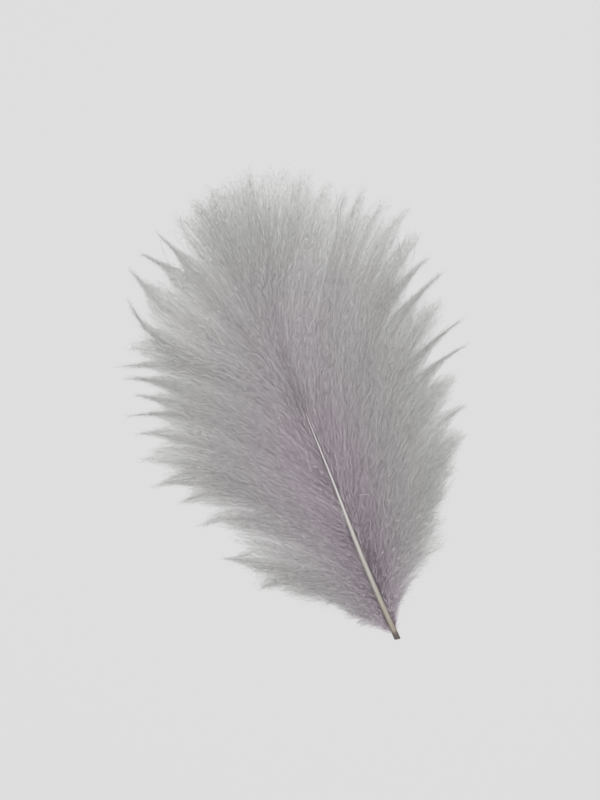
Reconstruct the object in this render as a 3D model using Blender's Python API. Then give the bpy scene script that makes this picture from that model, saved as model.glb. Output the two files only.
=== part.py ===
"""A loose marabou feather lying on a flat surface: one grown piece, its shaft with the locks of down on it.

The tables are in millimetres, and the objects in metres. The drawing frame has its origin under the cut
end of the quill, +Y towards the top of the down and +Z up from the surface that the feather lies on. The
finished part stands with the middle of its box over the origin.
"""

import math

import bmesh
import bpy
from mathutils import Vector
from mathutils.geometry import interpolate_bezier

MM = 0.001
WELD_DISTANCE = 0.005

# The middle of the feather's box in the drawing frame
BOX_MIDDLE = Vector((-9.05, 60.43, 0.0))

# The shaft from its cut end to the top: x, y and height of its middle line, and its radius
SHAFT = (
    (0.0, 0.0, 1.0, 0.76),
    (-3.9, 21.0, 2.9, 0.63),
    (-6.9, 42.3, 4.4, 0.36),
    (-9.6, 60.0, 5.0, 0.22),
    (-11.1, 74.0, 4.6, 0.20),
    (-9.2, 88.0, 3.5, 0.18),
)
SHAFT_STEPS = 4
SHAFT_SIDE_RESOLUTION = 3
CUT_END_LENGTH = 3.0

# Each lock of down: how far up the shaft it grows, the x and y of its tip, its early and late bow and its
# tip's height. A bow is how far the lock is drawn off the straight line to its tip, towards the middle of the
# down, a third and two thirds of the way out, as a share of that line's length.
LEFT_LOCKS = (
    (3.0, -7.5, 6.4, 0.07, 0.08, 0.3),
    (5.5, -15.0, 12.5, 0.08, 0.11, 0.3),
    (8.5, -22.5, 16.8, 0.11, 0.12, 0.3),
    (11.0, -30.5, 20.0, 0.09, 0.17, 0.3),
    (14.0, -38.2, 29.7, 0.06, 0.02, 1.6),
    (17.0, -35.0, 37.0, 0.04, 0.15, 0.3),
    (20.0, -42.0, 38.6, 0.04, 0.26, 0.3),
    (23.0, -45.6, 45.2, 0.03, 0.26, 2.2),
    (26.0, -50.8, 50.8, 0.02, 0.25, 0.3),
    (29.5, -52.4, 58.0, 0.02, 0.19, 1.4),
    (33.0, -53.0, 64.5, 0.03, 0.21, 0.3),
    (37.0, -53.4, 69.4, 0.04, 0.20, 2.6),
    (40.0, -50.2, 74.2, 0.06, 0.10, 0.3),
    (43.0, -52.6, 78.9, 0.08, 0.18, 1.2),
    (46.0, -53.2, 82.0, 0.10, 0.22, 2.8),
    (49.5, -48.4, 86.0, 0.12, 0.13, 0.3),
    (54.0, -46.4, 98.3, 0.20, -0.22, 3.0),
    (57.5, -44.3, 105.2, 0.12, -0.07, 0.3),
    (60.0, -41.7, 108.8, 0.07, 0.12, 2.0),
    (62.5, -36.2, 113.0, -0.03, 0.05, 0.3),
)
RIGHT_LOCKS = (
    (2.6, 3.0, 10.2, 0.08, 0.07, 0.3),
    (3.9, 10.2, 16.4, 0.14, 0.10, 0.3),
    (5.0, 16.2, 21.0, 0.16, 0.08, 0.3),
    (6.1, 16.6, 26.0, 0.14, 0.04, 1.4),
    (7.2, 19.4, 33.0, 0.09, 0.06, 0.3),
    (8.3, 22.8, 37.5, 0.10, 0.08, 0.3),
    (9.4, 27.5, 46.2, 0.08, 0.12, 1.8),
    (10.5, 30.5, 53.2, 0.06, 0.26, 0.3),
    (11.8, 28.0, 59.8, 0.08, 0.20, 2.4),
    (13.2, 34.8, 68.0, 0.10, 0.31, 0.3),
    (14.8, 35.2, 74.6, 0.10, 0.28, 3.0),
    (16.5, 30.0, 79.6, 0.09, 0.18, 0.3),
    (18.5, 32.4, 87.0, 0.07, 0.27, 2.2),
    (20.5, 29.6, 91.4, 0.06, 0.27, 0.3),
    (23.5, 29.0, 98.0, 0.06, 0.20, 1.6),
    (27.5, 27.8, 105.0, 0.06, 0.20, 0.3),
)
CROWN_LOCKS = (
    (64.5, -29.8, 115.8, 0.02, 0.04, 1.6),
    (66.5, -25.2, 117.6, 0.02, 0.03, 0.3),
    (68.5, -19.8, 119.0, 0.02, 0.02, 1.2),
    (70.5, -15.0, 120.2, 0.01, 0.01, 0.3),
    (73.0, -10.4, 121.0, 0.00, 0.00, 1.8),
    (75.0, -5.6, 119.6, 0.08, 0.00, 0.3),
    (68.5, -0.6, 119.8, 0.16, 0.02, 1.4),
    (61.5, 3.6, 117.6, 0.20, 0.04, 0.3),
    (54.0, 8.4, 114.8, 0.15, 0.06, 1.6),
    (46.5, 12.0, 112.0, 0.14, 0.08, 0.3),
    (39.0, 17.6, 111.8, 0.12, 0.12, 2.4),
    (32.5, 22.0, 107.6, 0.08, 0.18, 0.3),
)
COVER_LOCKS = (
    (12.0, -19.0, 27.0, 0.08, 0.19, 2.0),
    (20.0, -26.0, 43.0, 0.05, 0.21, 2.4),
    (29.0, -30.0, 60.0, 0.04, 0.21, 2.8),
    (37.0, -32.0, 76.0, 0.05, 0.19, 3.0),
    (45.0, -31.0, 91.0, 0.07, 0.16, 3.4),
    (52.0, -25.0, 102.0, 0.05, 0.10, 3.8),
    (58.0, -15.0, 108.0, 0.02, 0.05, 4.2),
    (53.0, -4.0, 107.0, 0.07, 0.03, 4.2),
    (43.0, 8.0, 101.0, 0.06, 0.08, 3.8),
    (34.0, 15.0, 90.0, 0.05, 0.12, 3.4),
    (25.0, 19.0, 76.0, 0.05, 0.14, 3.0),
    (18.0, 18.0, 61.0, 0.06, 0.14, 2.8),
    (13.0, 13.0, 44.0, 0.07, 0.12, 2.4),
    (8.0, 8.0, 28.0, 0.08, 0.08, 2.0),
)
INNER_CROWN_LOCKS = (
    (56.0, -22.0, 92.0, 0.04, 0.08, 6.4),
    (60.0, -14.0, 97.0, 0.02, 0.03, 7.2),
    (57.0, -4.0, 96.0, 0.06, 0.02, 7.2),
    (50.0, 4.0, 90.0, 0.08, 0.04, 6.4),
)

# A lock's shape: half its width at the widest, its thickness as a share of its width, and its width along it
LOCK_WIDTH_START = 1.0
LOCK_WIDTH_SHARE = 0.065
LOCK_THICKNESS_SHARE = 0.17
LOCK_SECTION_SIDES = 6
LOCK_WIDTHS = (0.14, 0.50, 0.84, 1.0, 0.90, 0.54, 0.06)
LOCK_TILT = math.radians(9)
TILT_CYCLE = 3

SHARP_ANGLE = math.radians(40)

# The block that takes away what would reach below the surface
BLOCK_SIZE = (150.0, 150.0, 10.0)

# How far a layer of locks grows below the shaft's middle line, how high it stands above its roots early on,
# and its height late on as a share of its roots' height
OUTER_LAYER = (0.35, 0.1, -0.3)
COVER_LAYER = (0.1, 2.0, 1.0)
INNER_CROWN_LAYER = (0.0, 4.6, 2.0)


def main():
    clear_scene()
    parts = new_collection("marabou feather", True)
    cutters = new_collection("cutters", False)
    locks = new_collection("locks", False)
    feather = shaft_object(parts)
    section = section_object(cutters)
    layers = (
        (LEFT_LOCKS + CROWN_LOCKS + RIGHT_LOCKS[::-1], OUTER_LAYER),
        (COVER_LOCKS, COVER_LAYER),
        (INNER_CROWN_LOCKS, INNER_CROWN_LAYER),
    )
    for rows, layer in layers:
        for row in rows:
            lock_object(row, layer, section, locks)
    join_locks(feather, locks)
    flatten_underside(feather, cutters)
    feather.data.shade_smooth()
    feather.data.set_sharp_from_angle(angle=SHARP_ANGLE)


def clear_scene():
    for thing in list(bpy.data.objects):
        bpy.data.objects.remove(thing, do_unlink=True)
    for collection in list(bpy.data.collections):
        bpy.data.collections.remove(collection)


def new_collection(name, shown):
    collection = bpy.data.collections.new(name)
    collection.hide_render = not shown
    bpy.context.scene.collection.children.link(collection)
    return collection


def material(name, colour, roughness):
    made = bpy.data.materials.new(name)
    made.use_nodes = True
    shader = made.node_tree.nodes["Principled BSDF"]
    shader.inputs["Base Color"].default_value = (*colour, 1.0)
    shader.inputs["Roughness"].default_value = roughness
    shader.inputs["Metallic"].default_value = 0.0
    made.diffuse_color = (*colour, 1.0)
    return made


def placed(point):
    """The point of the drawing frame, in metres in the part's own frame."""
    return (Vector(point) - BOX_MIDDLE) * MM


def shaft_points():
    """The shaft's middle line, smooth through the points of its table: place and radius at each step."""
    last = len(SHAFT) - 1
    rows = [Vector(row) for row in SHAFT]
    points = []
    for i in range(last):
        before = rows[max(i - 1, 0)]
        start, end = rows[i], rows[i + 1]
        after = rows[min(i + 2, last)]
        for step in range(SHAFT_STEPS):
            points.append(spline_point(before, start, end, after, step / SHAFT_STEPS))
    points.append(rows[last])
    return points


def spline_point(before, start, end, after, share):
    """A Catmull-Rom point between start and end."""
    bend = 2 * before - 5 * start + 4 * end - after
    turn = 3 * start - before - 3 * end + after
    return start + 0.5 * share * ((end - before) + share * (bend + share * turn))


def shaft_place(distance):
    """The point of the shaft's middle line that is this far from the cut end, along it."""
    points = [Vector(point[:3]) for point in shaft_points()]
    for start, end in zip(points, points[1:]):
        step = (end - start).length
        if distance <= step:
            return start.lerp(end, distance / step)
        distance -= step
    return points[-1]


def tube(name, points, radii, collection):
    """A curve object through the points, filled at both ends, with its own radius at each point."""
    curve = bpy.data.curves.new(name, "CURVE")
    curve.dimensions = "3D"
    curve.use_fill_caps = True
    curve.twist_mode = "Z_UP"
    spline = curve.splines.new("POLY")
    spline.points.add(len(points) - 1)
    for target, point, radius in zip(spline.points, points, radii):
        target.co = (*point, 1.0)
        target.radius = radius
    made = bpy.data.objects.new(name, curve)
    collection.objects.link(made)
    return made


def as_mesh(source, collection):
    """The curve object's shape as a closed mesh object of the same name and place."""
    graph = bpy.context.evaluated_depsgraph_get()
    mesh = bpy.data.meshes.new_from_object(source.evaluated_get(graph))
    shape = bmesh.new()
    shape.from_mesh(mesh)
    bmesh.ops.remove_doubles(shape, verts=shape.verts, dist=WELD_DISTANCE * MM)
    bmesh.ops.recalc_face_normals(shape, faces=shape.faces)
    shape.to_mesh(mesh)
    shape.free()
    name = source.name
    place = source.matrix_world.copy()
    bpy.data.objects.remove(source, do_unlink=True)
    made = bpy.data.objects.new(name, mesh)
    made.matrix_world = place
    collection.objects.link(made)
    return made


def shaft_object(collection):
    """The quill and the rachis: a thin tapering tube, dark at the end where it was cut off."""
    rows = shaft_points()
    source = tube("feather", [placed(row[:3]) for row in rows], [row[3] for row in rows], collection)
    source.data.bevel_depth = MM
    source.data.bevel_resolution = SHAFT_SIDE_RESOLUTION
    shaft = as_mesh(source, collection)
    shaft.data.materials.append(material("shaft", (0.62, 0.58, 0.52), 0.4))
    shaft.data.materials.append(material("cut end", (0.12, 0.09, 0.08), 0.6))
    cut_end_y = placed((0.0, CUT_END_LENGTH, 0.0)).y
    for face in shaft.data.polygons:
        face.material_index = 1 if face.center.y < cut_end_y else 0
    return shaft


def section_object(collection):
    """A lock's section: a flat ellipse one unit wide to each side, which each lock scales along its length."""
    curve = bpy.data.curves.new("lock section", "CURVE")
    spline = curve.splines.new("POLY")
    spline.points.add(LOCK_SECTION_SIDES - 1)
    for i, point in enumerate(spline.points):
        angle = 2 * math.pi * i / LOCK_SECTION_SIDES
        height = LOCK_THICKNESS_SHARE * math.sin(angle)
        point.co = (MM * math.cos(angle), MM * height, 0.0, 1.0)
    spline.use_cyclic_u = True
    made = bpy.data.objects.new("lock section", curve)
    made.hide_render = True
    collection.objects.link(made)
    return made


def lock_path(row, layer):
    """A lock's middle line: out of the shaft, over in an arch, and down to its tip."""
    distance, tip_x, tip_y, early_bow, late_bow, tip_height = row
    root_drop, early_rise, late_share = layer
    root = shaft_place(distance)
    root.z -= root_drop
    tip = Vector((tip_x, tip_y, tip_height))
    run = tip - root
    run.z = 0.0
    inward = Vector((-run.y, run.x, 0.0)) * (1 if tip_x > root.x else -1)
    early = root + run / 3 + inward * early_bow
    late = root + run * 2 / 3 + inward * late_bow
    early.z = root.z + early_rise
    late.z = root.z * late_share
    return interpolate_bezier(root, early, late, tip, len(LOCK_WIDTHS))


def lock_object(row, layer, section, collection):
    """One lock of down: a thin blade that swells out of the shaft and ends in a point."""
    number = len(collection.objects)
    path = lock_path(row, layer)
    half_width = LOCK_WIDTH_START + LOCK_WIDTH_SHARE * (path[-1] - path[0]).length
    radii = [half_width * share for share in LOCK_WIDTHS]
    source = tube(f"lock_{number}", [placed(point) for point in path], radii, collection)
    source.data.bevel_mode = "OBJECT"
    source.data.bevel_object = section
    for point in source.data.splines[0].points:
        point.tilt = LOCK_TILT * (number % TILT_CYCLE - 1)
    lock = as_mesh(source, collection)
    lock.data.materials.append(down_material())


def down_material():
    found = bpy.data.materials.get("down")
    return found or material("down", (0.36, 0.34, 0.36), 0.85)


def join_locks(feather, locks):
    """Makes the shaft and all the locks one solid, with no pockets sealed between them."""
    union = feather.modifiers.new("locks", "BOOLEAN")
    union.operation = "UNION"
    union.solver = "EXACT"
    union.operand_type = "COLLECTION"
    union.collection = locks
    union.material_mode = "TRANSFER"
    graph = bpy.context.evaluated_depsgraph_get()
    joined = bpy.data.meshes.new_from_object(feather.evaluated_get(graph))
    feather.modifiers.remove(union)
    feather.data = joined
    for lock in list(locks.objects):
        bpy.data.objects.remove(lock, do_unlink=True)
    bpy.data.collections.remove(locks)
    shape = bmesh.new()
    shape.from_mesh(joined)
    skins = sorted(skins_of(shape), key=len)
    for pocket in skins[:-1]:
        bmesh.ops.delete(shape, geom=pocket, context="FACES")
    shape.to_mesh(joined)
    shape.free()


def skins_of(shape):
    """The closed skins of the shape, as lists of the faces that hang together."""
    left = set(shape.faces)
    skins = []
    while left:
        skin = [left.pop()]
        for face in skin:
            beside = {other for edge in face.edges for other in edge.link_faces} & left
            left -= beside
            skin.extend(beside)
        skins.append(skin)
    return skins


def flatten_underside(feather, collection):
    """Cuts the locks flat where they press on the surface."""
    place = (0.0, 0.0, -BLOCK_SIZE[2] * MM / 2)
    bpy.ops.mesh.primitive_cube_add(size=MM, location=place)
    block = bpy.context.object
    block.name = "below the surface"
    block.scale = BLOCK_SIZE
    block.hide_render = True
    block.display_type = "WIRE"
    for holder in list(block.users_collection):
        holder.objects.unlink(block)
    collection.objects.link(block)
    cut = feather.modifiers.new("surface", "BOOLEAN")
    cut.operation = "DIFFERENCE"
    cut.solver = "EXACT"
    cut.object = block


main()
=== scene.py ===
import math

import bmesh
import bpy
import numpy as np
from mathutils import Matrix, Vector


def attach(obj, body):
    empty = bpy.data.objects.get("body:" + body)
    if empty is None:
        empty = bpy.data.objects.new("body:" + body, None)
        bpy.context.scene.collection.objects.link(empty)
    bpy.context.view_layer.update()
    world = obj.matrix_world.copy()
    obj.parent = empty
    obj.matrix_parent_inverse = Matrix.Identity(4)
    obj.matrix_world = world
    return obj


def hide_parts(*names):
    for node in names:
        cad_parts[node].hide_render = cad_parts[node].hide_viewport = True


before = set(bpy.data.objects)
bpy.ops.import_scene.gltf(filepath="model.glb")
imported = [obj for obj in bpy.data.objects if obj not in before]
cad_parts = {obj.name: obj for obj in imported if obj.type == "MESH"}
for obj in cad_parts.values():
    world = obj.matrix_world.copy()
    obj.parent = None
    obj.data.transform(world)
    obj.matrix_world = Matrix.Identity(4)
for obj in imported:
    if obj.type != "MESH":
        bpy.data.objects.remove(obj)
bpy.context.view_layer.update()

mm = 0.001
up = np.array([0.0, 0.0, 1.0])

# The feather's plan, in millimetres: x to the right and y towards the top from under the quill's cut end
feather = {
    "boxMiddle": (-9.05, 60.43, 0.0),  # what lies at the scene's origin
    "shaft": (  # x, y, height and radius of the shaft from the cut end to the top
        (0.0, 0.0, 1.0, 0.76), (-3.9, 21.0, 2.9, 0.63), (-6.9, 42.3, 4.4, 0.33),
        (-9.6, 60.0, 5.0, 0.17), (-11.1, 74.0, 4.6, 0.15), (-9.2, 88.0, 3.5, 0.14),
    ),
    "shaftPoints": 400,  # how finely the shaft's curve is worked out
    "bareShaft": 62.0,  # the down covers the shaft from here up
    "clearBeside": 0.14, "clearBelow": 0.10,  # how far the down keeps from the bare part
    # Each lock: how far up the shaft it grows, its tip's x and y, its bow a third and two thirds of the
    # way out, its tip's height, how hard its barbs draw together, and how full it is. They go round from
    # the left of the quill over the top.
    "locks": (
        (2.6, -7.9, 5.9, 0.07, 0.08, 0.3, 0.75, 1.6),
        (7.0, -15.0, 12.9, 0.10, 0.13, 0.3, 0.85, 0.9),
        (8.5, -22.5, 16.8, 0.11, 0.12, 0.3, 0.60, 1.0),
        (11.0, -30.5, 20.0, 0.09, 0.17, 0.3, 0.80, 1.0),
        (14.0, -38.2, 29.7, 0.06, 0.02, 1.6, 0.92, 0.9),
        (17.0, -35.0, 37.0, 0.04, 0.15, 0.3, 0.60, 0.8),
        (20.0, -42.0, 38.6, 0.04, 0.26, 0.3, 0.85, 0.9),
        (23.0, -45.6, 45.2, 0.03, 0.26, 2.2, 0.80, 0.9),
        (26.0, -50.8, 50.8, 0.02, 0.25, 0.3, 0.85, 1.5),
        (29.5, -52.4, 58.0, 0.02, 0.19, 1.4, 0.70, 1.8),
        (33.0, -53.0, 64.5, 0.03, 0.21, 0.3, 0.88, 1.0),
        (37.0, -53.4, 69.4, 0.04, 0.20, 2.6, 0.94, 1.0),
        (40.0, -50.2, 74.2, 0.06, 0.10, 0.3, 0.90, 1.6),
        (43.0, -52.6, 78.9, 0.08, 0.18, 1.2, 0.94, 1.6),
        (46.0, -53.2, 82.0, 0.10, 0.22, 2.8, 0.90, 1.2),
        (49.5, -48.4, 86.0, 0.12, 0.13, 0.3, 0.70, 1.5),
        (54.0, -46.4, 98.3, 0.20, -0.22, 3.0, 0.99, 0.8),
        (57.5, -44.3, 105.2, 0.12, -0.07, 0.3, 0.88, 1.6),
        (60.0, -41.7, 108.8, 0.07, 0.12, 2.0, 0.96, 1.3),
        (62.5, -36.2, 113.0, -0.03, 0.05, 0.3, 0.98, 1.0),
        (64.5, -29.8, 115.8, 0.02, 0.04, 1.6, 0.55, 0.9),
        (66.5, -25.2, 117.6, 0.02, 0.03, 0.3, 0.45, 1.9),
        (68.5, -19.8, 119.0, 0.02, 0.02, 1.2, 0.30, 1.8),
        (70.5, -15.0, 120.2, 0.01, 0.01, 0.3, 0.25, 1.6),
        (73.0, -10.4, 121.0, 0.00, 0.00, 1.8, 0.30, 1.2),
        (75.0, -5.6, 119.6, 0.08, 0.00, 0.3, 0.25, 0.9),
        (68.5, -0.6, 119.8, 0.16, 0.02, 1.4, 0.30, 0.9),
        (61.5, 3.6, 117.6, 0.20, 0.04, 0.3, 0.30, 1.1),
        (54.0, 8.4, 114.8, 0.15, 0.06, 1.6, 0.45, 1.1),
        (46.5, 12.0, 112.0, 0.14, 0.08, 0.3, 0.45, 0.9),
        (39.0, 17.6, 111.8, 0.12, 0.12, 2.4, 0.60, 1.2),
        (32.5, 22.0, 107.6, 0.08, 0.18, 0.3, 0.45, 1.0),
        (27.5, 27.8, 105.0, 0.06, 0.20, 0.3, 0.60, 1.1),
        (23.5, 29.0, 98.0, 0.06, 0.20, 1.6, 0.60, 1.2),
        (20.5, 29.6, 91.4, 0.06, 0.27, 0.3, 0.85, 1.8),
        (18.5, 32.4, 87.0, 0.07, 0.27, 2.2, 0.92, 1.9),
        (16.5, 30.0, 79.6, 0.09, 0.18, 0.3, 0.50, 1.8),
        (15.3, 35.2, 74.6, 0.10, 0.28, 3.0, 0.97, 1.0),
        (14.4, 34.8, 68.0, 0.10, 0.31, 0.3, 0.96, 1.1),
        (13.6, 28.0, 59.8, 0.08, 0.20, 2.4, 0.50, 1.8),
        (12.9, 30.5, 53.2, 0.06, 0.26, 0.3, 0.85, 1.7),
        (12.2, 27.5, 46.2, 0.08, 0.12, 1.8, 0.60, 1.6),
        (11.5, 22.8, 37.5, 0.10, 0.08, 0.3, 0.50, 1.0),
        (10.6, 19.4, 33.0, 0.09, 0.06, 0.3, 0.50, 0.9),
        (9.4, 16.6, 26.0, 0.18, 0.10, 1.4, 0.40, 0.8),
        (7.8, 16.2, 21.0, 0.24, 0.18, 0.3, 0.50, 0.7),
        (5.6, 10.2, 16.4, 0.26, 0.20, 0.3, 0.40, 0.7),
        (3.2, 3.0, 10.2, 0.10, 0.10, 0.3, 0.40, 0.5),
    ),
}


def splinePoint(rows, at):
    # A smooth point through the rows, at a row number that may be a fraction
    i = np.clip(np.floor(at).astype(int), 0, len(rows) - 2)
    f = (at - i)[..., None]
    before, start = rows[np.maximum(i - 1, 0)], rows[i]
    end, after = rows[i + 1], rows[np.minimum(i + 2, len(rows) - 1)]
    bend = 2 * before - 5 * start + 4 * end - after
    turn = 3 * start - before - 3 * end + after
    return start + 0.5 * f * ((end - before) + f * (bend + f * turn))


shaftRows = np.array(feather["shaft"])
shaftFine = splinePoint(shaftRows, np.linspace(0, len(shaftRows) - 1, feather["shaftPoints"]))
shaftSteps = np.linalg.norm(np.diff(shaftFine[:, :3], axis=0), axis=1)
shaftRun = np.concatenate([[0], np.cumsum(shaftSteps)])
lockRows = np.array(feather["locks"])


def shaftAt(distance):
    # x, y, height and radius of the shaft, this far along it
    return np.stack([np.interp(distance, shaftRun, shaftFine[:, k]) for k in range(4)], axis=-1)


def shaftBeside(points):
    # x, height and radius of the shaft where it is as far up the plan as the points
    return [np.interp(points[..., 1], shaftFine[:, 1], shaftFine[:, k]) for k in (0, 2, 3)]


def rowsAt(place):
    # The table of locks at fractional row numbers
    low = np.clip(np.floor(place).astype(int), 0, len(lockRows) - 2)
    share = (place - low)[:, None]
    return lockRows[low] * (1 - share) + lockRows[low + 1] * share


def smoothStep(low, high, value):
    share = np.clip((value - low) / (high - low), 0, 1)
    return share * share * (3 - 2 * share)


def mixed(pair, share):
    return pair[0] + share * (pair[1] - pair[0])


def unit(vectors):
    return vectors / np.maximum(np.linalg.norm(vectors, axis=-1, keepdims=True), 1e-9)


def tuckUnderShaft(points, start=-1):
    # Keeps the bare part of the shaft clear: what would cross over it, from this far up, goes under it
    middle, height, radius = shaftBeside(points)
    crossing = np.abs(points[:, 0] - middle) < radius + feather["clearBeside"]
    crossing &= (points[:, 1] > start) & (points[:, 1] < feather["bareShaft"])
    below = (height - radius)[crossing] - feather["clearBelow"]
    points[crossing, 2] = np.minimum(points[crossing, 2], below)


# What a user would change in the barbs, the branches that leave the shaft. fringe, notch, notchCurve,
# drawnBy and streakIn each hold a value for a loose lock and one for a tight lock.
barbLook = {
    "seed": 11,
    "count": 5200,
    "steps": 8,
    "stepsAtTip": 0.75,  # below 1 the steps are shorter towards the tip
    "halfWidth": ((0.0, 0.028), (0.12, 0.036), (0.55, 0.038), (0.82, 0.040), (1.0, 0.020)),
    "flatness": 0.40, "thinnest": 0.012,
    "bowJitter": 0.016, "tipJitter": 0.9, "rootJitter": 1.3,
    "reachOut": 1.8,  # how much farther out than its tip the barbs of a loose lock end
    "fullSize": 24.0, "leastSize": 0.25,  # smaller locks than this keep their barbs closer together
    "longest": 1.0,  # how far the longest barbs reach, of the way to the tip of their lock
    "shortShare": 0.25, "shortReach": (0.35, 0.92),  # how many barbs end inside the down, and where
    "fringe": (0.13, 0.015), "fringeShare": 0.75, "mostFringe": 0.3,  # how uneven the ends are
    "notch": (0.15, 0.20), "notchCurve": (1.2, 0.8),  # how much shorter the barbs are between two locks
    "tightPower": 6,  # how far the tightest locks differ from the rest
    "drawStart": 0.90,  # how far out the barbs of a loose lock begin to draw together
    "drawSooner": 0.16,  # how much nearer the shaft those of a tight one begin
    "drawnBy": (1.0, 0.84),
    "firmHold": (0.86, 1.0), "looseHold": 0.4, "looseShare": 0.04,  # how close they come, but for a few
    "strandsInLock": 5, "strandShift": 1.6, "strandFree": 1.1,
    "strandSooner": 0.08, "strandHold": 0.8, "leastHold": 0.3,
    "streakMiddle": 0.4, "streakIn": (0.3, 1.0),  # where between two locks the shade is unchanged
    "wave": (1.2, 0.5),  # how far barbs sway at the sides and in the crown
    "waveJitter": 0.6, "waveFree": 1.2,
    "waveTurns": (2.0, 7.0), "waveStart": (0.0, 6.0),
    "lowestRoot": 1.5, "highestRoot": 0.5,  # how far from the shaft's ends
    "rootAcross": 0.7,  # how far off the shaft's middle they start, of its radius
    "crownFrom": (44.0, 64.0),  # how far up the shaft the crown's barbs take over from the sides'
    "rootLayers": (-0.25, 0.20),  # here and in the next two lines: for a lock's lowest barbs and its highest
    "earlyRise": (-0.1, 2.6), "crownRise": (0.4, 4.4),
    "lateShare": (-0.15, 1.0), "crownLate": (0.0, 1.7),
    "tipRise": 2.2, "lowestTip": 0.5, "floor": 0.12,
    "tuckFrom": 50.0,  # barbs keep clear of the shaft from here to the end of its bare part
}


def curvePoints(rows, side, root, heights, t):
    # Points at t of curves that leave the shaft at root and end at each row's tip: curves x steps x 3
    run = rows[:, 1:3] - root[:, :2]
    inward = np.stack([-run[:, 1], run[:, 0]], axis=1) * side[:, None]
    early = root[:, :2] + run / 3 + inward * rows[:, 3:4]
    late = root[:, :2] + run * 2 / 3 + inward * rows[:, 4:5]
    flat = np.stack([root[:, :2], early, late, rows[:, 1:3]])
    controls = np.concatenate([flat, heights[:, :, None]], axis=2)
    u = 1 - t
    weights = (u**3, 3 * u**2 * t, 3 * u * t**2, t**3)
    return sum(weight[..., None] * control[:, None] for weight, control in zip(weights, controls))


def barbPlaces(look, draw):
    # Where in the table of locks each barb belongs: more of them where a lock is wide or full
    gaps = np.linalg.norm(np.diff(lockRows[:, 1:3], axis=0), axis=1)
    fullness = np.cumsum(np.concatenate([[0], gaps * (lockRows[1:, 7] + lockRows[:-1, 7])]))
    drawn = np.sort(draw.uniform(0, fullness[-1], look["count"]))
    return np.interp(drawn, fullness, np.arange(len(lockRows)))


def barbRows(look, draw, place, tight):
    # A row like a lock's for each barb, and the size of its lock, at most 1
    rows = rowsAt(place)
    rows[:, 3:5] += draw.normal(0, look["bowJitter"], (len(rows), 2))
    outward = rows[:, 1:3] - shaftAt(rows[:, 0])[:, :2]
    size = np.clip(np.linalg.norm(outward, axis=1) / look["fullSize"], look["leastSize"], 1)[:, None]
    rows[:, 1:3] += draw.normal(0, look["tipJitter"], (len(rows), 2)) * size
    rows[:, 1:3] += unit(outward) * (look["reachOut"] * (1 - tight))[:, None] * size
    return rows, size


def barbRoots(look, draw, rows, side, layer):
    # Where each barb leaves the shaft, and how far into the crown that is
    distance = rows[:, 0] + draw.normal(0, look["rootJitter"], len(rows))
    distance = np.clip(distance, look["lowestRoot"], shaftRun[-1] - look["highestRoot"])
    here = shaftAt(distance)
    along = unit(shaftAt(distance + 0.5)[:, :3] - shaftAt(distance - 0.5)[:, :3])
    across = unit(np.cross(along, up))
    root = here[:, :3] + across * (side * here[:, 3] * look["rootAcross"])[:, None]
    root[:, 2] += mixed(look["rootLayers"], layer)
    return root, smoothStep(*look["crownFrom"], distance)


def barbHeights(look, root, rows, layer, crown):
    # Heights of the four points that steer each barb's curve
    sideRise, crownRise = np.array(look["earlyRise"]), np.array(look["crownRise"])
    sideLate, crownLate = np.array(look["lateShare"]), np.array(look["crownLate"])
    rise = mixed(mixed((sideRise, crownRise), crown[:, None]).T, layer)
    late = mixed(mixed((sideLate, crownLate), crown[:, None]).T, layer)
    tip = np.maximum(rows[:, 5], look["lowestTip"]) + layer * look["tipRise"]
    return np.stack([root[:, 2], root[:, 2] + rise, root[:, 2] * late, tip])


def barbReach(look, draw, rows, tight, offMiddle):
    # How far out each barb goes, of the way to its own tip
    tightest = tight ** look["tightPower"]
    uneven = np.abs(draw.normal(0, 1, len(rows))) * mixed(look["fringe"], tight)
    uneven *= draw.uniform(0, 1, len(rows)) < look["fringeShare"]
    uneven /= rows[:, 7]
    notch = mixed(look["notch"], tightest) * offMiddle ** mixed(look["notchCurve"], tightest) * tight
    full = look["longest"] - notch
    full -= np.minimum(uneven, look["mostFringe"])
    short = draw.uniform(0, 1, len(rows)) < look["shortShare"]
    return np.where(short, draw.uniform(*look["shortReach"], len(rows)), full)


def strandRows(look, place, tight, size):
    # A row for the strand that each barb gathers in, of a few in each lock, and a tone for that strand
    draw = np.random.default_rng(look["seed"] + 1)
    strand = np.floor((place + 0.5) * look["strandsInLock"]).astype(int)
    middle = (strand + 0.5) / look["strandsInLock"] - 0.5
    rows = rowsAt(np.clip(middle, 0, len(lockRows) - 1))
    shift = draw.normal(0, look["strandShift"], (strand.max() + 1, 2))[strand]
    rows[:, 1:3] += shift * (look["strandFree"] - tight)[:, None] * size
    return rows, draw.normal(0, 1, strand.max() + 1)[strand]


def barbSway(look, draw, points, t, tight, crown):
    turns = draw.uniform(*look["waveTurns"], len(points))[:, None]
    start = draw.uniform(*look["waveStart"], len(points))[:, None]
    wave = np.sin(t * turns + start) * t**2
    across = unit(np.cross(np.gradient(points, axis=1), up))
    sway = mixed(look["wave"], crown) * draw.normal(0, look["waveJitter"], len(points))
    sway *= look["waveFree"] - tight
    return across * (wave * sway[:, None])[..., None]


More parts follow.
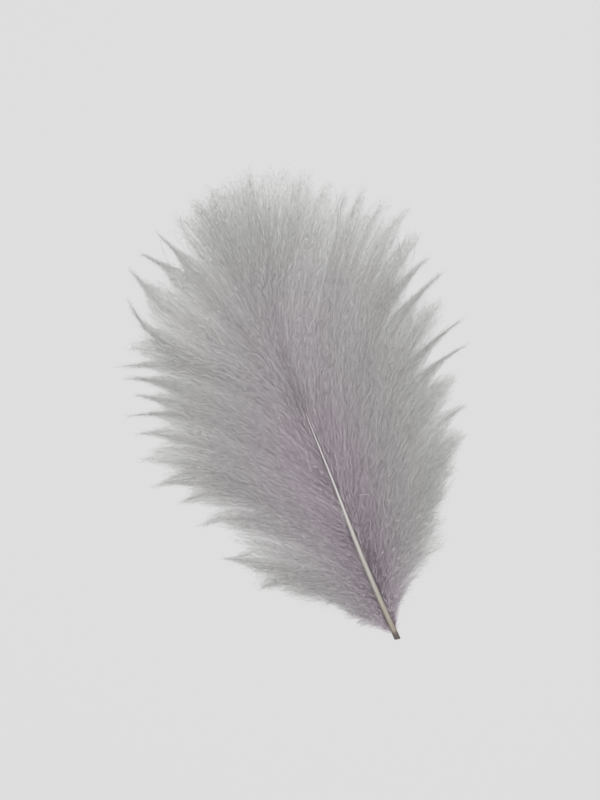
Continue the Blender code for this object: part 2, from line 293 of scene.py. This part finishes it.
def makeBarbs(look):
    # The middle lines of all the barbs and what the barbules need to know of each
    draw = np.random.default_rng(look["seed"])
    place = barbPlaces(look, draw)
    nearest = np.rint(place).astype(int)
    offMiddle = np.abs(place - nearest) * 2
    side = np.where(lockRows[nearest, 1] < shaftAt(lockRows[nearest, 0])[:, 0], -1.0, 1.0)
    layer = draw.uniform(0, 1, look["count"])
    tight = lockRows[nearest, 6]
    own, size = barbRows(look, draw, place, tight)
    root, crown = barbRoots(look, draw, own, side, layer)
    heights = barbHeights(look, root, own, layer, crown)
    reach = barbReach(look, draw, own, tight, offMiddle)
    stepShare = np.linspace(0, 1, look["steps"]) ** look["stepsAtTip"]
    t = stepShare[None, :] * reach[:, None]
    points = curvePoints(own, side, root, heights, t)

    # They gather in strands, and farther out these draw together into the tip of the lock
    gatherRows, strandTone = strandRows(look, place, tight, size)
    start = (look["drawStart"] - look["drawSooner"] * tight ** look["tightPower"])[:, None]
    hold = look["strandHold"] * tight * draw.uniform(look["leastHold"], 1, look["count"])
    pull = smoothStep(start - look["strandSooner"], 1.0, t) * hold[:, None]
    points += (curvePoints(gatherRows, side, root, heights, t) - points) * pull[:, :, None]
    loose = draw.uniform(0, 1, look["count"]) < look["looseShare"]
    hold = np.where(loose, look["looseHold"], draw.uniform(*look["firmHold"], look["count"])) * tight
    drawnBy = mixed(look["drawnBy"], tight ** look["tightPower"])[:, None]
    pull = smoothStep(start, drawnBy, t) * hold[:, None]
    points += (curvePoints(lockRows[nearest], side, root, heights, t) - points) * pull[:, :, None]

    points += barbSway(look, draw, points, t, tight, crown)
    tuckUnderShaft(points.reshape(-1, 3), look["tuckFrom"])
    points[:, :, 2] = np.maximum(points[:, :, 2], look["floor"])
    return {
        "points": points, "place": place, "tight": tight, "layer": layer, "reach": reach,
        "stepShare": stepShare,
        "length": np.linalg.norm(own[:, 1:3] - root[:, :2], axis=1),
        "tone": draw.normal(0, 1, look["count"]), "strandTone": strandTone,
        "streak": (offMiddle - look["streakMiddle"]) * mixed(look["streakIn"], tight),
    }


# Colour over the plan: 0 is the mauve beside the shaft and 1 the grey of the tips. A shade is the share by
# which the down is darker or paler there: partly its own tone, partly painted shade and painted light.
colourLook = {
    "reachLeft": (12.0, 23.0), "reachRight": (10.5, 15.0),  # how far out the mauve goes, low and higher up
    "growsOver": (10.0, 50.0),  # how far up the plan it grows from the one to the other
    "reachCrown": 19.0, "crownFrom": (50.0, 75.0), "crownMauve": 0.64, "crownFade": (80.0, 110.0),
    "axisMauve": 0.86, "axisReach": 5.0,
    "leftMauve": 0.92, "leftFrom": (0.0, 6.0),
    "spots": (  # x, y, reach along and across, direction in degrees, change of shade
        (-11.1, 63.7, 3.0, 3.0, 0, -0.16),
        (-11.5, 70.0, 7.0, 2.0, 96, -0.12),
        (1.5, 36.0, 14.0, 3.5, 107, -0.08),
        (-21.0, 61.0, 12.0, 12.0, 0, 0.05),
        (-31.9, 94.0, 14.0, 8.0, 135, 0.12),
        (-7.5, 19.0, 14.0, 5.0, 100, -0.09),
        (-14.0, 112.0, 24.0, 8.0, 5, 0.08),
        (6.0, 104.0, 12.0, 8.0, 0, 0.02),
        (18.0, 52.0, 14.0, 5.0, 80, 0.04),
        (-32.4, 87.8, 2.8, 0.9, 136, 0.10),
        (-35.3, 81.2, 3.0, 1.0, 143, 0.12),
        (-42.0, 78.6, 2.0, 0.8, 150, 0.10),
        (-41.7, 55.4, 8.0, 2.6, 170, 0.02),
        (2.7, 22.1, 1.6, 0.9, 60, -0.10),
        (9.4, 82.0, 14.0, 6.0, 100, 0.09),
        (-14.4, 90.0, 14.0, 7.0, 105, 0.06),
        (-28.0, 75.4, 9.0, 5.0, 150, 0.08),
        (-41.8, 93.9, 6.0, 3.0, 135, 0.06),
        (-6.5, 5.0, 3.0, 1.5, 157, -0.20),
    ),
    "paintedShadeByShaft": (  # painted shade: how much darker the down is made beside the shaft, where it lies thin and shadowed, going up it
        (0.0, -0.26), (20.0, -0.24), (45.0, -0.15), (62.0, -0.15), (74.0, -0.06), (90.0, 0.0),
    ),
    "coreReach": 9.0, "coreShift": 1.5,
}


def mauveToGrey(points):
    look = colourLook
    away = points[..., 0] - shaftBeside(points)[0]
    crown = smoothStep(*look["crownFrom"], points[..., 1])
    upward = smoothStep(*look["growsOver"], points[..., 1])
    side = np.where(away < 0, mixed(look["reachLeft"], upward), mixed(look["reachRight"], upward))
    reach = side * (1 - crown) + look["reachCrown"] * crown
    strength = 1 - (1 - look["crownMauve"]) * crown
    strength *= 1 - (1 - look["axisMauve"]) * np.exp(-((away / look["axisReach"]) ** 2))
    leftStrength = mixed((1, look["leftMauve"]), smoothStep(*look["leftFrom"], -away))
    strength *= np.where(away < 0, leftStrength, 1)
    strength *= 1 - smoothStep(*look["crownFade"], points[..., 1])
    return 1 - strength * np.exp(-((away / reach) ** 2))


def spotShade(points):
    look = colourLook
    paintedShadeByShaft = np.interp(points[..., 1], *np.transpose(look["paintedShadeByShaft"]))
    away = points[..., 0] - shaftBeside(points)[0] - look["coreShift"]
    # Painted shade: the down is darkened beside the shaft, then the listed spots change it
    shade = paintedShadeByShaft * np.exp(-((away / look["coreReach"]) ** 2))
    for x, y, length, width, direction, change in look["spots"]:
        right, top = points[..., 0] - x, points[..., 1] - y
        turn = math.radians(direction)
        along = (right * math.cos(turn) + top * math.sin(turn)) / length
        across = (top * math.cos(turn) - right * math.sin(turn)) / width
        shade += change * np.exp(-(along**2) - across**2)
    return shade


# How the UV map carries the colours: u goes from mauve to grey, and v from dark to pale with no change of
# shade in its middle. The corners of a face stand a little apart there, so that the export can bake it.
mapLook = {
    "name": "OFBake", "middle": 0.5, "lowest": 0.01, "highest": 0.98,
    "cornersApart": (0.0, 0.003, 0.006), "needleApart": (-0.004, 0.0, 0.002, 0.006),
}


def meshFromArrays(name, points, triangles, uv):
    # points in millimetres of the plan; uv for each corner of each triangle
    mesh = bpy.data.meshes.new(name)
    place = (points - np.array(feather["boxMiddle"])) * mm
    mesh.vertices.add(len(place))
    mesh.vertices.foreach_set("co", place.astype(np.float32).ravel())
    mesh.loops.add(triangles.size)
    mesh.loops.foreach_set("vertex_index", triangles.astype(np.int32).ravel())
    mesh.polygons.add(len(triangles))
    mesh.polygons.foreach_set("loop_start", np.arange(0, triangles.size, 3, dtype=np.int32))
    mesh.update(calc_edges=True)
    layer = mesh.uv_layers.new(name=mapLook["name"])
    layer.uv.foreach_set("vector", uv.astype(np.float32).ravel())
    piece = bpy.data.objects.new(name, mesh)
    bpy.context.scene.collection.objects.link(piece)
    return piece


def strandArrays(vertices, faces, colour, shade):
    # Flat arrays for many copies of one strand: points, triangles and a UV for each corner
    count, size = vertices.shape[:2]
    triangles = (faces[None] + (np.arange(count) * size)[:, None, None]).reshape(-1, 3)
    u = np.clip(colour, mapLook["lowest"], mapLook["highest"])[:, faces]
    v = np.clip(mapLook["middle"] + shade, mapLook["lowest"], mapLook["highest"])[:, faces]
    uv = np.stack([u, v + np.array(mapLook["cornersApart"])], axis=-1).reshape(-1, 2)
    return vertices.reshape(-1, 3), triangles, uv


def tubes(points, halfWidth, thickness, colour, shade):
    # Closed three-sided strands: a flat start, rings, and a point at the end
    count, steps = points.shape[:2]
    along = unit(np.gradient(points, axis=-2))
    across = unit(np.cross(along, up))
    above = np.cross(across, along)
    rings = []
    for k in range(3):
        angle = 2 * math.pi * k / 3
        sideways = across * (math.cos(angle) * halfWidth)[..., None]
        upwards = above * (math.sin(angle) * thickness)[..., None]
        rings.append(points[:, :-1] + (sideways + upwards)[:, :-1])
    vertices = np.concatenate([np.stack(rings, axis=2).reshape(count, -1, 3), points[:, -1:]], axis=1)
    faces = [(0, 1, 2)]
    for ring in range(steps - 2):
        for k in range(3):
            a, b = ring * 3 + k, ring * 3 + (k + 1) % 3
            faces += [(a, b + 3, b), (a, a + 3, b + 3)]
    last = (steps - 2) * 3
    faces += [(last + (k + 1) % 3, last + k, vertices.shape[1] - 1) for k in range(3)]
    paint = []
    for row in (colour, shade):
        paint.append(np.concatenate([np.repeat(row[:, :-1], 3, axis=1), row[:, -1:]], axis=1))
    return strandArrays(vertices, np.array(faces), *paint)


def needles(start, middle, end, width, colour, shade):
    # Closed needles of four faces: a point, a waist two corners wide and a point
    across = unit(np.cross(end - start, up)) * (width / 2)[:, None]
    vertices = np.stack([start, middle - across, middle + across, end], axis=1)
    faces = np.array([(0, 2, 1), (3, 1, 2), (0, 1, 3), (0, 3, 2)])
    cornerColour = colour[:, None] + np.array(mapLook["needleApart"])
    cornerShade = np.repeat(shade[:, None], 4, axis=1)
    return strandArrays(vertices, faces, cornerColour, cornerShade)


def joined(parts):
    points, triangles, uvs, base = [], [], [], 0
    for vertices, faces, uv in parts:
        points.append(vertices)
        triangles.append(faces + base)
        uvs.append(uv)
        base += len(vertices)
    return np.concatenate(points), np.concatenate(triangles), np.concatenate(uvs)


# What a user would change in the barbules, the fine fluff on the barbs. Those called haze stand off the
# barbs and blur the rim.
fluffLook = {
    "seed": 23,
    "count": 190000,
    "tries": 3,  # how many are tried for each one that is kept
    "upTo": 0.99,  # they grow on their barb to here
    "hazeShare": 0.48, "hazeFrom": (0.35, 0.9),
    "looseHaze": 0.60,  # more of it at the rim of loose locks
    "rimFrom": (0.72, 0.98), "rimShare": (0.3, 1.0),
    "width": (0.062, 0.042), "hazeWidth": 0.045, "widthVaries": (0.7, 1.3),  # at the shaft and at the tips
    "length": ((0.0, 3.2), (0.15, 4.2), (0.7, 4.6), (1.0, 3.0)),
    "hazeLength": 2.4, "lengthVaries": (0.5, 1.3),
    "mostOfBarb": 0.22,  # a barbule's greatest share of its barb's length
    "spread": ((0.0, 19.0), (0.3, 15.0), (0.8, 15.0), (1.0, 16.0)),  # degrees off the barb
    "hazeSpread": 48.0, "spreadVaries": (0.4, 1.5),
    "tightFrom": (0.55, 0.95), "tightSpread": 0.65, "tightLength": 0.35,  # how much less on a tight tip
    "turnJitter": 0.75, "headingJitter": 0.05,
    "liftShare": 0.4,  # how far the barbules stand up from the plane of the barbs
    "bareTop": 0.45,  # on barbs in layers above this they hang below, so that the barb shows
    "hump": 0.6,  # how far up a barbule's waist is, of its width
    "topFrom": 0.55, "topShare": 0.62,  # the layers near the surface, and how many of them are there
    "cells": (0.5, 1.6), "evenness": 1.0,  # how evenly they spread
    "thinning": 0.8,  # how many fewer at the rim
    "floor": 0.12,
}


def alongBarbs(barbs, chosen, at):
    # The place and the direction this share of the way along each chosen barb
    points, shares = barbs["points"], barbs["stepShare"]
    i = np.clip(np.searchsorted(shares, at) - 1, 0, len(shares) - 2)
    f = ((at - shares[i]) / (shares[i + 1] - shares[i]))[:, None]
    here, following = points[chosen, i], points[chosen, i + 1]
    return here * (1 - f) + following * f, unit(following - here)


def crowding(spots, cell):
    # How many of the spots lie about each of them
    column, row = ((spots[:, :2] - spots[:, :2].min(axis=0)) / cell).astype(int).T
    crowd = np.zeros((column.max() + 3, row.max() + 3))
    np.add.at(crowd, (column + 1, row + 1), 1)
    return crowd[column + 1, row + 1]


def evenlySpread(look, fluff, draw):
    # Keeps some of the barbules tried: fewer where they crowd together, most of them near the surface
    top = fluff["layer"] > look["topFrom"]
    kept = []
    for mine, share in ((top, look["topShare"]), (~top, 1 - look["topShare"])):
        group = np.flatnonzero(mine)
        order = draw.exponential(1, len(group))
        for cell in look["cells"]:
            order *= crowding(fluff["middle"][group], cell) ** (look["evenness"] / len(look["cells"]))
        order *= 1 + look["thinning"] * fluff["rim"][group]
        kept.append(group[np.argsort(order)[:int(look["count"] * share)]])
    return {key: values[np.sort(np.concatenate(kept))] for key, values in fluff.items()}


def makeBarbules(look, barbs):
    draw = np.random.default_rng(look["seed"])
    count = look["count"] * look["tries"]
    run = barbs["length"] * barbs["reach"]
    barb = draw.choice(len(run), count, p=run / run.sum())
    at = draw.uniform(0, look["upTo"], count)
    base, along = alongBarbs(barbs, barb, at)
    across = unit(np.cross(along, up))
    above = np.cross(across, along)

    share = at * barbs["reach"][barb]
    loose = 1 - barbs["tight"][barb]
    rim = smoothStep(*look["rimFrom"], share) * mixed(look["rimShare"], loose)
    hazeShare = look["hazeShare"] * smoothStep(*look["hazeFrom"], at) + look["looseHaze"] * rim
    haze = draw.uniform(0, 1, count) < hazeShare
    tight = (1 - loose) * smoothStep(*look["tightFrom"], share)

    spread = np.where(haze, look["hazeSpread"], np.interp(share, *np.transpose(look["spread"])))
    spread = spread * draw.uniform(*look["spreadVaries"], count) * (1 - look["tightSpread"] * tight)
    spread = np.radians(spread)
    turn = draw.normal(0, look["turnJitter"], count)
    turn += np.where(draw.uniform(0, 1, count) < 0.5, 0, math.pi)
    lift = np.where(barbs["layer"][barb] > look["bareTop"], -np.abs(np.sin(turn)), np.sin(turn))
    outward = across * np.cos(turn)[:, None] + above * (look["liftShare"] * lift)[:, None]
    heading = along * np.cos(spread)[:, None] + outward * np.sin(spread)[:, None]

    length = np.where(haze, look["hazeLength"], np.interp(share, *np.transpose(look["length"])))
    length *= draw.uniform(*look["lengthVaries"], count) * (1 - look["tightLength"] * tight)
    length = np.minimum(length, look["mostOfBarb"] * barbs["length"][barb])
    heading += draw.normal(0, look["headingJitter"], (count, 3))
    end = base + unit(heading) * length[:, None]
    middle = (base + end) / 2
    width = np.where(haze, look["hazeWidth"], mixed(look["width"], share))
    width *= draw.uniform(*look["widthVaries"], count)
    middle[:, 2] += width * look["hump"]
    for ring in (middle, end):
        tuckUnderShaft(ring)
        ring[:, 2] = np.maximum(ring[:, 2], look["floor"])
    fluff = {
        "barb": barb, "base": base, "middle": middle, "end": end, "width": width, "haze": haze,
        "layer": barbs["layer"][barb], "share": share, "rim": rim * loose,
        "grain": draw.normal(0, 1, count),
    }
    return evenlySpread(look, fluff, draw)


def depthBelow(tops, cell):
    # How far below the surface of the down a point is; tops are points all through the down
    low = tops[:, :2].min(axis=0) - cell
    column, row = ((tops[:, :2] - low) / cell).astype(int).T
    height = np.zeros((column.max() + 3, row.max() + 3))
    np.maximum.at(height, (column, row), tops[:, 2])
    smooth = sum(np.roll(height, (i, j), (0, 1)) for i in (-1, 0, 1) for j in (-1, 0, 1)) / 9
    smooth = np.minimum(smooth, height)

    def depth(points):
        place = np.clip(((points[..., :2] - low) / cell).astype(int), 0, np.array(smooth.shape) - 1)
        return smooth[place[..., 0], place[..., 1]] - points[..., 2]
    return depth


class Shade:
    # A socket of a material with arithmetic; node adds any other node to the same material
    def __init__(self, tree, socket=None):
        self.tree = tree
        self.socket = socket

    def node(self, kind, settings=None, inputs=None, output=0):
        made = self.tree.nodes.new(kind)
        for key, value in (settings or {}).items():
            setattr(made, key, value)
        for key, value in (inputs or {}).items():
            feed(self.tree, made.inputs[key], value)
        return Shade(self.tree, made.outputs[output])

    def maths(self, operation, first, second):
        return self.node("ShaderNodeMath", {"operation": operation}, {0: first, 1: second})

    def ramp(self, stops):
        made = self.node("ShaderNodeValToRGB", None, {0: self})
        elements = made.socket.node.color_ramp.elements
        while len(elements) < len(stops):
            elements.new(0.5)
        for element, (place, colour) in zip(elements, stops):
            element.position = place
            element.color = (*colour, 1.0)
        return made

    def __add__(self, other):
        return self.maths("ADD", self, other)

    def __radd__(self, other):
        return self.maths("ADD", other, self)

    def __sub__(self, other):
        return self.maths("SUBTRACT", self, other)

    def __rsub__(self, other):
        return self.maths("SUBTRACT", other, self)

    def __mul__(self, other):
        return self.maths("MULTIPLY", self, other)

    def __rmul__(self, other):
        return self.maths("MULTIPLY", other, self)


def feed(tree, socket, value):
    if isinstance(value, Shade):
        tree.links.new(value.socket, socket)
    else:
        socket.default_value = value


def newMaterial(name, settings):
    # A material, its first Shade and its Principled shader
    material = bpy.data.materials.new(name)
    material.use_nodes = True
    shader = material.node_tree.nodes["Principled BSDF"]
    for key, value in settings.items():
        shader.inputs[key].default_value = value
    return material, Shade(material.node_tree), shader


def finishPiece(piece, material):
    piece.data.materials.append(material)
    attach(piece, "root")
    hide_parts("feather")
    print(piece.name, len(piece.data.polygons), "faces")


# Single fibres and specks that lie on top of the down: x and y of three points, half the width, the shade
strayLook = {
    "fibres": (
        ((-2.0, 37.4), (0.0, 37.2), (1.9, 36.6), 0.08, 0.40),
        ((7.4, 100.5), (9.3, 106.5), (10.3, 114.0), 0.08, -0.25),
        ((8.8, 103.3), (10.6, 108.8), (13.2, 112.0), 0.07, -0.25),
        ((21.4, 92.7), (22.4, 95.3), (22.7, 98.0), 0.07, -0.25),
        ((24.9, 90.8), (25.7, 93.2), (26.5, 95.4), 0.07, -0.20),
        ((21.3, 91.7), (22.7, 94.7), (25.5, 98.7), 0.07, -0.20),
        ((-34.1, 102.9), (-35.3, 107.8), (-35.2, 111.4), 0.07, -0.15),
        ((-13.6, 35.1), (-13.3, 35.0), (-13.0, 34.9), 0.22, -0.48),
        ((-23.9, 37.1), (-23.7, 37.0), (-23.5, 36.9), 0.18, -0.40),
    ),
    "steps": 5, "above": 0.15, "flatness": 0.5, "colour": 0.4,
    "taperFrom": 0.15, "taperOver": 0.8,  # the part of a half wave that their width follows
}


def strayFibres(look, depth):
    # The same arrays as the barbs have: points, half width, thickness, colour and shade
    steps = np.linspace(0, 1, look["steps"])
    flat = np.array([fibre[:3] for fibre in look["fibres"]])
    points = np.zeros((len(flat), len(steps), 3))
    for k in range(2):
        points[:, :, k] = [np.interp(steps, (0, 0.5, 1), fibre[:, k]) for fibre in flat]
    points[:, :, 2] = depth(points) + look["above"]
    taper = np.sin(math.pi * (look["taperFrom"] + look["taperOver"] * steps))
    halfWidth = np.array([fibre[3] for fibre in look["fibres"]])[:, None] * taper
    shade = np.repeat([[fibre[4]] for fibre in look["fibres"]], len(steps), axis=1)
    return points, halfWidth, halfWidth * look["flatness"], np.full(shade.shape, look["colour"]), shade


downLook = {
    "pieces": (  # round the feather, with as many barbules each
        "downLeftLow", "downLeftHigh", "downCrownLeft", "downCrownRight", "downRightHigh", "downRightLow",
    ),
    "stops": (  # colour from beside the shaft to the tips
        (0.00, (0.472, 0.336, 0.444)),
        (0.35, (0.494, 0.418, 0.470)),
        (0.70, (0.510, 0.484, 0.487)),
        (1.00, (0.547, 0.545, 0.521)),
    ),
    "colourGrain": 0.03,  # how much the barbules differ in colour
    "strandTone": 0.02, "tone": 0.005,  # how much strands and barbs differ in shade
    "barbShade": ((0.0, 0.0), (0.7, -0.04), (1.0, -0.13)),  # from the shaft to the tips
    "hazeShade": -0.08,
    "streak": 0.14, "streakFrom": (0.35, 0.8),  # how much paler the down is between two locks
    "innerPaintedLight": 0.50, "innerDepth": 2.2,  # painted light: how much paler the down is made inside, where less light comes, to lift its shade
    "depthCell": 1.2,
    "finish": {
        "Roughness": 0.85, "Specular IOR Level": 0.25,
        "Subsurface Weight": 1.0, "Subsurface Radius": (1.0, 1.0, 1.0), "Subsurface Scale": 0.00026,
    },
}


def downMaterial(look):
    material, shade, shader = newMaterial("greyMauveDown", look["finish"])
    uv = shade.node("ShaderNodeUVMap", {"uv_map": mapLook["name"]})
    split = shade.node("ShaderNodeSeparateXYZ", None, {0: uv}).socket.node.outputs
    colour = Shade(shade.tree, split[0]).ramp(look["stops"])
    # The shade, with its painted shade and painted light, scales the colour
    scale = Shade(shade.tree, split[1]) + (1 - mapLook["middle"])
    shaded = shade.node("ShaderNodeVectorMath", {"operation": "SCALE"}, {0: colour, "Scale": scale})
    feed(shade.tree, shader.inputs["Base Color"], shaded)
    return material


def barbPaint(look, barbs, tone, depth):
    # Colour and shade at each point of each barb
    points = barbs["points"]
    along = barbs["stepShare"][None, :] * barbs["reach"][:, None]
    shade = spotShade(points) + np.interp(along, *np.transpose(look["barbShade"]))
    # Painted light: deeper points of a barb are made paler, to lift the shade inside the down
    shade += look["innerPaintedLight"] * np.clip(depth(points) / look["innerDepth"], 0, 1)
    shade += tone[:, None]
    shade += look["streak"] * barbs["streak"][:, None] * smoothStep(*look["streakFrom"], along)
    return mauveToGrey(points), shade


def fluffPaint(look, barbs, fluff, tone, depth):
    # Colour and shade of each barbule
    barb, middle = fluff["barb"], fluff["middle"]
    shade = spotShade(middle) + tone[barb]
    shade += look["hazeShade"] * fluff["haze"]
    shade += look["streak"] * barbs["streak"][barb] * smoothStep(*look["streakFrom"], fluff["share"])
    # Painted light: deeper barbules are made paler, to lift the shade inside the down
    shade += look["innerPaintedLight"] * np.clip(depth(middle) / look["innerDepth"], 0, 1)
    return mauveToGrey(middle) + look["colourGrain"] * fluff["grain"], shade


def makeDown(look):
    barbs = makeBarbs(barbLook)
    fluff = makeBarbules(fluffLook, barbs)
    print(len(barbs["place"]), "barbs,", len(fluff["barb"]), "barbules")
    material = downMaterial(look)
    points = barbs["points"]
    depth = depthBelow(np.concatenate([fluff["middle"], points.reshape(-1, 3)]), look["depthCell"])
    tone = look["tone"] * barbs["tone"] + look["strandTone"] * barbs["strandTone"]
    barbColour, barbShade = barbPaint(look, barbs, tone, depth)
    fluffColour, fluffShade = fluffPaint(look, barbs, fluff, tone, depth)
    t = np.broadcast_to(barbs["stepShare"], barbShade.shape)
    halfWidth = np.interp(t, *np.transpose(barbLook["halfWidth"]))
    thickness = np.maximum(halfWidth * barbLook["flatness"], barbLook["thinnest"])

    fibres = meshFromArrays("looseFibres", *tubes(*strayFibres(strayLook, depth)))
    finishPiece(fibres, material)
    names = look["pieces"]
    edges = np.quantile(barbs["place"][fluff["barb"]], np.arange(1, len(names)) / len(names))
    for k, name in enumerate(names):
        mine = np.searchsorted(edges, barbs["place"]) == k
        own = mine[fluff["barb"]]
        strands = tubes(points[mine], halfWidth[mine], thickness[mine], barbColour[mine], barbShade[mine])
        slivers = needles(fluff["base"][own], fluff["middle"][own], fluff["end"][own], fluff["width"][own],
                          fluffColour[own], fluffShade[own])
        piece = meshFromArrays(name, *joined([strands, slivers]))
        finishPiece(piece, material)


# The quill and the rachis
shaftLook = {
    "rings": 40, "sides": 12, "flatness": 0.84, "endRadius": 0.10, "upTo": 0.97,
    "wall": 0.16, "hollowDepth": 1.8, "hollowTaper": 0.7,
    "rim": 0.04, "rimSteps": 2, "rimAngle": 50.0,
    "stops": (  # colour along the quill, from its cut end
        (0.000, (0.075, 0.062, 0.060)), (0.026, (0.095, 0.080, 0.074)), (0.040, (0.220, 0.190, 0.150)),
        (0.100, (0.250, 0.228, 0.192)), (0.300, (0.290, 0.270, 0.250)), (0.550, (0.350, 0.332, 0.318)),
        (1.000, (0.360, 0.336, 0.342)),
    ),
    "stopsOver": 60.0,  # the length that they cover
    "streak": 0.22, "streakScale": 2600.0, "streakStretch": 0.05, "streakDetail": 3.0,
    "finish": {"Roughness": 0.42, "Coat Weight": 0.15, "Coat Roughness": 0.3},
}


def inScene(point):
    return (Vector(point) - Vector(feather["boxMiddle"])) * mm


def shaftMaterial(look):
    material, shade, shader = newMaterial("creamShaft", look["finish"])
    coordinates = shade.node("ShaderNodeTexCoord", None, None, output=3)  # the object's own
    split = shade.node("ShaderNodeSeparateXYZ", None, {0: coordinates}).socket.node.outputs
    start = inScene(feather["shaft"][0][:3])[1]
    length = look["stopsOver"] * mm
    alongShaft = (Shade(shade.tree, split[1]) - start) * (1 / length)
    colour = alongShaft.ramp(look["stops"])
    stretched = shade.node("ShaderNodeVectorMath", {"operation": "MULTIPLY"},
                           {0: coordinates, 1: (1.0, look["streakStretch"], 1.0)})
    noise = shade.node("ShaderNodeTexNoise", None,
                       {"Vector": stretched, "Scale": look["streakScale"], "Detail": look["streakDetail"]})
    scale = noise * (2 * look["streak"]) + (1 - look["streak"])
    streaked = shade.node("ShaderNodeVectorMath", {"operation": "SCALE"}, {0: colour, "Scale": scale})
    feed(shade.tree, shader.inputs["Base Color"], streaked)
    return material


def cutHollow(look):
    # Opens the cut end of the quill
    mesh = bmesh.from_edit_mesh(bpy.context.object.data)
    for face in mesh.faces:
        face.select_set(False)
    mesh.faces.ensure_lookup_table()
    caps = [face for face in mesh.faces if len(face.verts) > 4]
    lowest = min(caps, key=lambda face: face.calc_center_median().y)
    lowest.select_set(True)
    bmesh.update_edit_mesh(bpy.context.object.data)
    bpy.ops.mesh.inset(thickness=look["wall"] * mm, use_even_offset=True)
    bpy.ops.mesh.extrude_region_move(TRANSFORM_OT_translate={"value": (0, look["hollowDepth"] * mm, 0)})
    bpy.ops.transform.resize(value=(look["hollowTaper"], 1, look["hollowTaper"]))


def roundRim(piece, look):
    bevel = piece.modifiers.new("rim", "BEVEL")
    bevel.width = look["rim"] * mm
    bevel.segments = look["rimSteps"]
    bevel.limit_method = "ANGLE"
    bevel.angle_limit = math.radians(look["rimAngle"])
    bpy.ops.object.modifier_apply(modifier=bevel.name)


def makeShaft(look):
    if bpy.context.mode != "OBJECT":
        bpy.ops.object.mode_set(mode="OBJECT")
    bpy.ops.object.select_all(action="DESELECT")
    rows = shaftAt(np.linspace(0, shaftRun[-1] * look["upTo"], look["rings"]))
    bpy.ops.mesh.primitive_circle_add(vertices=look["sides"], radius=rows[0, 3] * mm, fill_type="NGON",
                                      location=inScene(rows[0, :3]), rotation=(math.pi / 2, 0, 0))
    piece = bpy.context.object
    piece.name = "shaft"
    bpy.ops.object.mode_set(mode="EDIT")
    bpy.ops.mesh.select_all(action="SELECT")
    bpy.ops.transform.resize(value=(1, 1, look["flatness"]), center_override=inScene(rows[0, :3]))
    for i in range(1, len(rows)):
        move = Vector(rows[i, :3] - rows[i - 1, :3]) * mm
        bpy.ops.mesh.extrude_region_move(TRANSFORM_OT_translate={"value": move})
        scale = rows[i, 3] / rows[i - 1, 3]
        if i == len(rows) - 1:
            scale *= look["endRadius"] / rows[i, 3]
        bpy.ops.transform.resize(value=(scale, 1, scale), center_override=inScene(rows[i, :3]))
    cutHollow(look)
    bpy.ops.mesh.select_all(action="SELECT")
    bpy.ops.mesh.normals_make_consistent(inside=False)
    bpy.ops.object.mode_set(mode="OBJECT")
    bpy.ops.object.transform_apply(location=True, rotation=True, scale=True)
    roundRim(piece, look)
    piece.data.shade_smooth()
    finishPiece(piece, shaftMaterial(look))


# The surface, the light and the camera. The photo's lengths and the lens are in millimetres, the rest in
# metres.
studio = {
    "room": 0.36, "floorSize": 6.0, "floorGlow": 0.704, "floorShade": 0.05, "paperAlbedo": 0.8,
    "paperRoughness": 0.9,
    "lamp": (0.02, 0.02, 0.60), "lampSize": 0.22, "lampPower": 4.6,
    "lean": -13.0,  # degrees by which the feather leans to the left in the photo
    "photoMiddle": (-1.25, 3.15), "photoHeight": 200.0, "lens": 85.0, "sensor": 36.0, "nearest": 0.01,
}


def grey(level):
    return (level, level, level, 1.0)


def makeFloor(look):
    bpy.ops.object.select_all(action="DESELECT")
    bpy.ops.mesh.primitive_plane_add(size=look["floorSize"], location=(0, 0, 0))
    floor = bpy.context.object
    floor.name = "paleFloor"
    finish = {"Base Color": grey(look["paperAlbedo"]), "Roughness": look["paperRoughness"]}
    material, shade, shader = newMaterial("palePaper", finish)
    light = shade.node("ShaderNodeEmission", None, {"Color": grey(look["floorGlow"]), "Strength": 1.0})
    lit = Shade(shade.tree, shader.outputs[0])
    both = shade.node("ShaderNodeMixShader", None, {0: look["floorShade"], 1: light, 2: lit})
    feed(shade.tree, shade.tree.nodes["Material Output"].inputs[0], both)
    floor.data.materials.append(material)


def makeLamp(look):
    lamp = bpy.data.lights.new("softLamp", "AREA")
    lamp.shape = "DISK"
    lamp.size = look["lampSize"]
    lamp.energy = look["lampPower"]
    holder = bpy.data.objects.new("softLamp", lamp)
    holder.location = look["lamp"]
    holder.rotation_euler = (-Vector(look["lamp"])).to_track_quat("-Z", "Y").to_euler()
    bpy.context.scene.collection.objects.link(holder)


def makeCamera(look):
    camera = bpy.data.cameras.new("photoCamera")
    camera.lens = look["lens"]
    camera.sensor_width = look["sensor"]
    camera.clip_start = look["nearest"]
    holder = bpy.data.objects.new("photoCamera", camera)
    distance = look["photoHeight"] * look["lens"] / look["sensor"]
    holder.location = Vector((*look["photoMiddle"], distance)) * mm
    holder.rotation_euler = (0, 0, math.radians(look["lean"]))
    bpy.context.scene.collection.objects.link(holder)
    bpy.context.scene.camera = holder


def makeStudio(look):
    makeFloor(look)
    world = bpy.data.worlds.new("softRoom")
    world.use_nodes = True
    world.node_tree.nodes["Background"].inputs[0].default_value = grey(look["room"])
    bpy.context.scene.world = world
    makeLamp(look)
    makeCamera(look)
    bpy.context.scene.view_settings.view_transform = "Standard"
    print("studio ready")


makeStudio(studio)
makeShaft(shaftLook)
makeDown(downLook)
